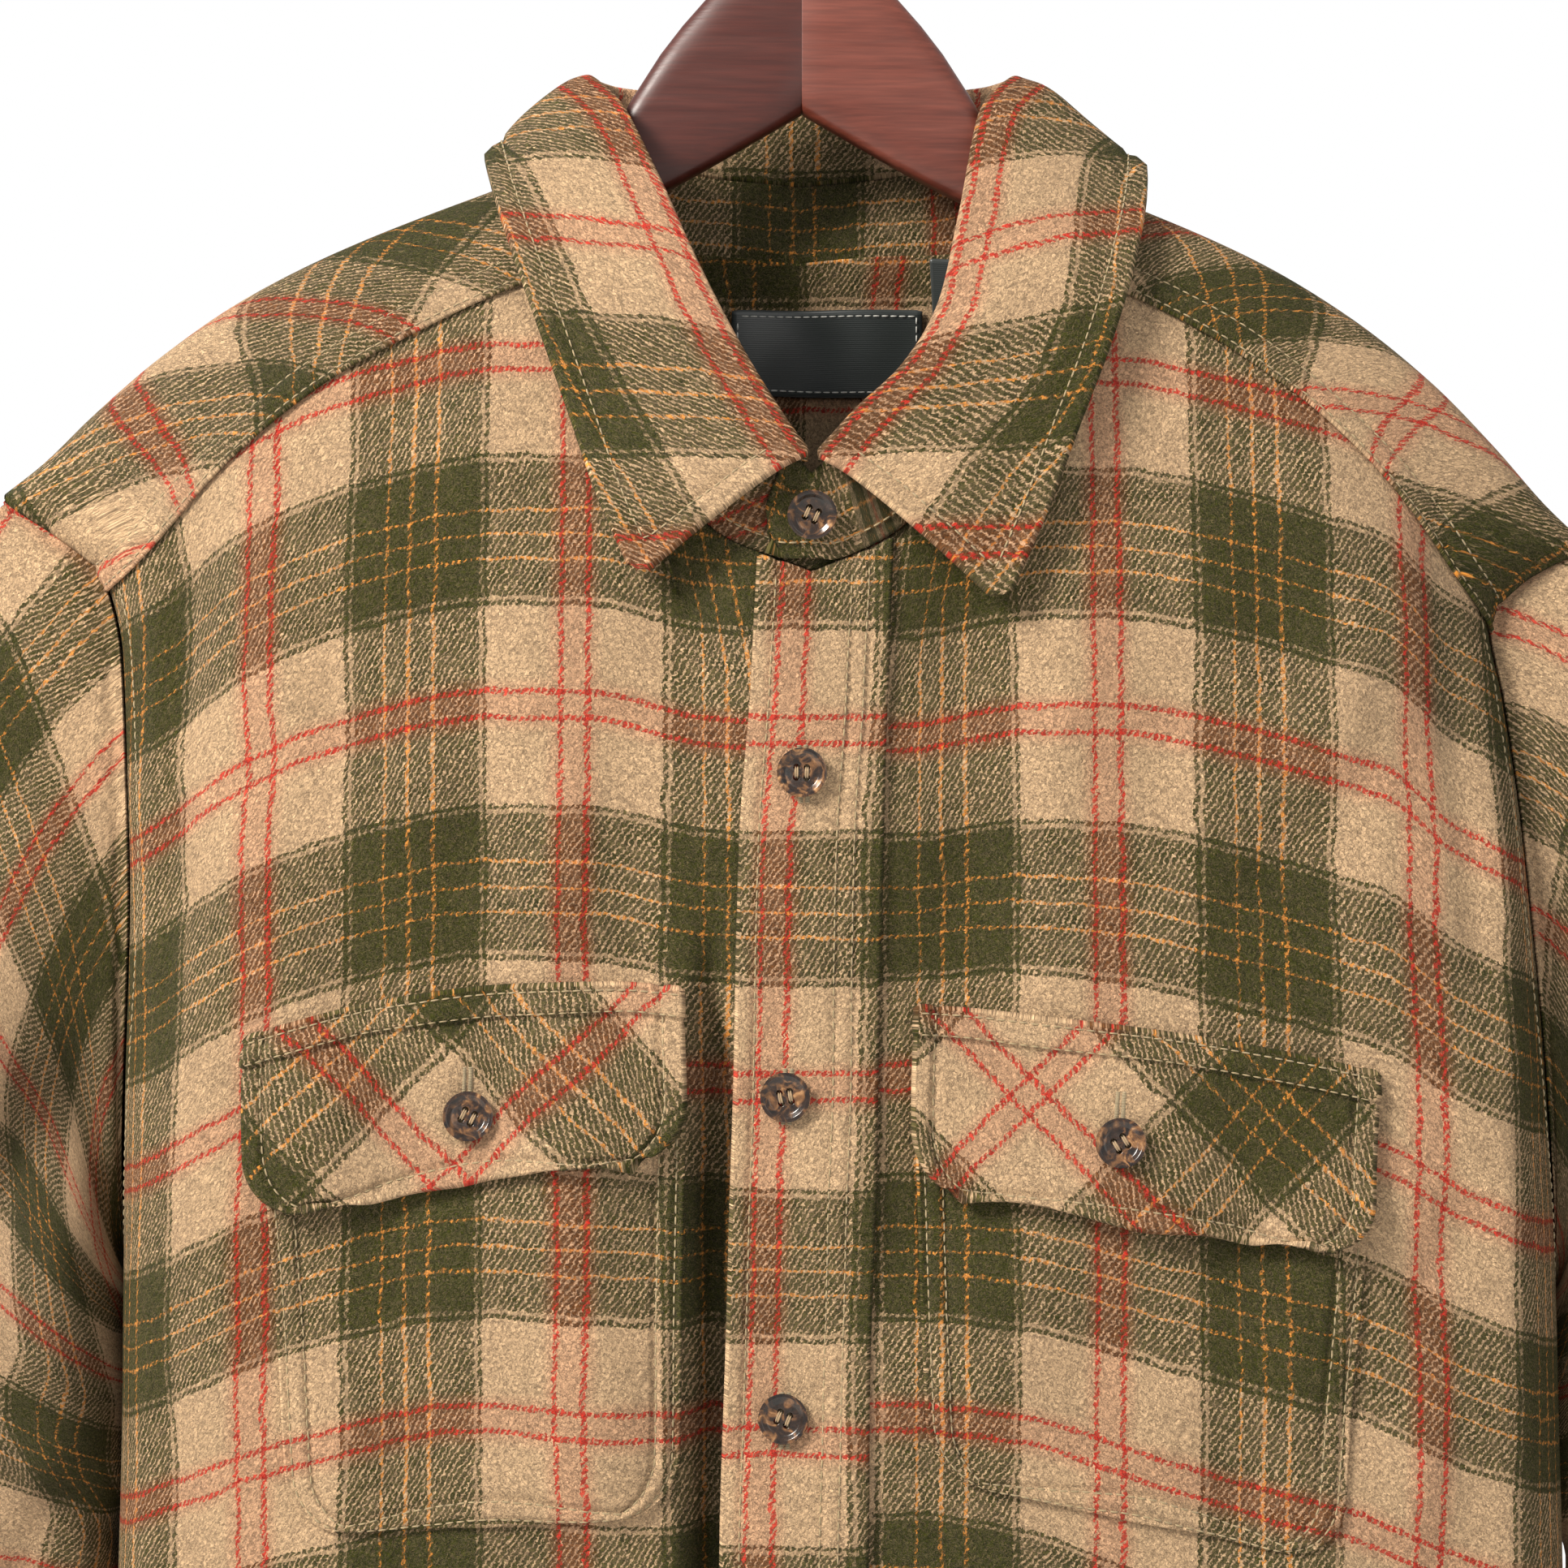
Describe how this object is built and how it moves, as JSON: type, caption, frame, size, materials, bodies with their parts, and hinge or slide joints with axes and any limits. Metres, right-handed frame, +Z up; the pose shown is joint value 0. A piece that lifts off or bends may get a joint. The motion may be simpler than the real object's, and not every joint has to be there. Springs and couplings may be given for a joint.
{
  "type": "flannel shirt on a wooden clothes hanger",
  "caption": "Long-sleeved plaid flannel shirt with spread collar, back yoke, buttoned front and flapped chest pockets, hanging on a two-part wooden hanger.",
  "frame": {"origin": "the inside top of the hanger's hook, where it rests on a rail", "axes": "+Z up; the shirt's front faces -Y; +X is the wearer's left"},
  "size_m": [0.6922, 0.1279, 0.9358],
  "materials": {
    "flannel": "brushed plaid flannel",
    "buttons": "mottled dark horn look",
    "label": "satin weave",
    "hanger_wood": "stained and satin varnished",
    "hook_steel": "plated wire"
  },
  "bodies": {
    "root": {"front_right": "flannel", "front_left": "flannel", "placket": "flannel", "back_upper": "flannel", "back_lower": "flannel", "yoke": "flannel", "collar_stand": "flannel", "collar_fall": "flannel", "sleeve_right_head": "flannel", "sleeve_right_arm": "flannel", "sleeve_left_head": "flannel", "sleeve_left_arm": "flannel", "cuff_right": "flannel", "cuff_left": "flannel", "pocket_right": "flannel", "pocket_left": "flannel", "flap_right": "flannel", "flap_left": "flannel", "button_stand": "buttons", "button_placket_1": "buttons", "button_placket_2": "buttons", "button_placket_3": "buttons", "button_placket_4": "buttons", "button_placket_5": "buttons", "button_placket_6": "buttons", "button_flap_right": "buttons", "button_flap_left": "buttons", "button_cuff_right": "buttons", "button_cuff_left": "buttons", "neck_label": "label", "care_label": "label", "hanger_arm_right": "hanger_wood", "hanger_arm_left": "hanger_wood", "hook": "hook_steel"}
  },
  "joints": []
}
